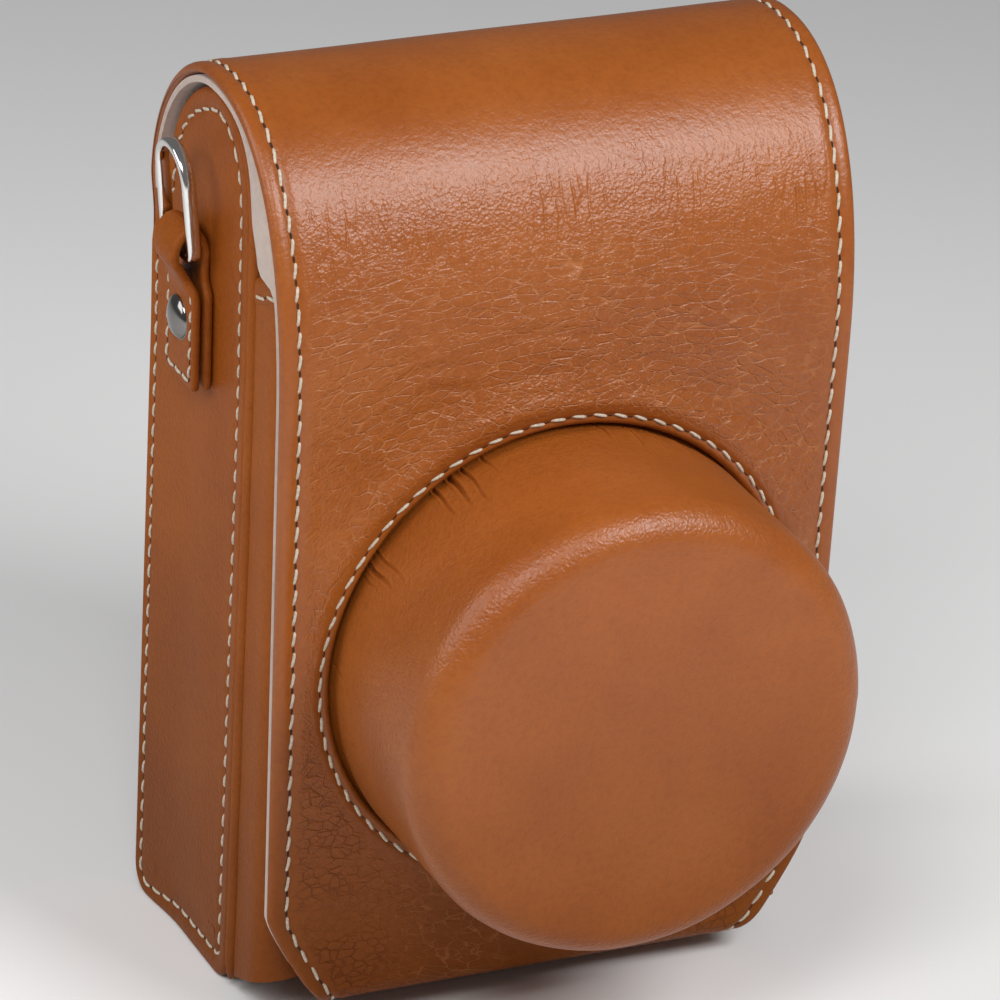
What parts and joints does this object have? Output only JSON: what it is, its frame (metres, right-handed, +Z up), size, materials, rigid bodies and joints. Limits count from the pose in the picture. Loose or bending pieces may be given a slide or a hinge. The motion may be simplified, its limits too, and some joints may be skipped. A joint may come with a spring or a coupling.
{
  "type": "leather ever ready case",
  "caption": "Upright leather case for a compact camera: shell with gussets, arched cover flap with a round moulded lens cup, fold-under closure tab and strap rings.",
  "frame": {"origin": "under the middle of the closed case, on the surface it stands on", "axes": "+X across the case to its right, +Y towards its back, +Z up from its lower end to the rounded top"},
  "size_m": [0.095, 0.0796, 0.136],
  "materials": {
    "leather": "tan, semi-matt, fine grain",
    "suede": "matt nap",
    "board": "matt fibreboard",
    "nickel": "polished",
    "magnet_steel": "satin"
  },
  "bodies": {
    "shell": {"back_panel": "leather", "bottom_panel": "leather", "left_gusset": "leather", "right_gusset": "leather", "left_piping": "leather", "right_piping": "leather", "front_wall": "leather", "left_wall_binding": "leather", "right_wall_binding": "leather", "left_strap_tab": "leather", "right_strap_tab": "leather", "back_lining": "suede", "bottom_lining": "suede", "left_gusset_lining": "suede", "right_gusset_lining": "suede", "front_wall_lining": "suede", "back_board": "board", "bottom_board": "board", "left_rivet": "nickel", "right_rivet": "nickel", "left_rivet_burr": "nickel", "right_rivet_burr": "nickel", "bottom_magnet": "magnet_steel"},
    "flap": {"flap_leather": "leather", "flap_interlining": "board", "flap_lining": "suede", "cup_leather": "leather", "cup_core": "board", "cup_lining": "suede"},
    "closure_tab": {"closure_tab": "leather", "closure_tab_interlining": "board", "closure_tab_lining": "suede", "closure_tab_magnet": "magnet_steel"},
    "left_ring": {"left_ring": "nickel"},
    "right_ring": {"right_ring": "nickel"}
  },
  "joints": [
    {"name": "flap_hinge", "type": "hinge", "parent": "shell", "child": "flap", "pos_m": [0, 0.0398, 0.112], "axis": [-1, 0, 0], "range_deg": [0, 150]},
    {"name": "closure_tab_fold", "type": "hinge", "parent": "flap", "child": "closure_tab", "pos_m": [0, -0.0094, 0.00484], "axis": [-1, 0, 0], "range_deg": [0, 110]},
    {"name": "left_ring_swing", "type": "hinge", "parent": "shell", "child": "left_ring", "pos_m": [-0.04472, 0.0228, 0.1079], "axis": [0, -1, 0], "range_deg": [-5, 140]},
    {"name": "right_ring_swing", "type": "hinge", "parent": "shell", "child": "right_ring", "pos_m": [0.04472, 0.0228, 0.1079], "axis": [0, 1, 0], "range_deg": [-5, 140]}
  ]
}
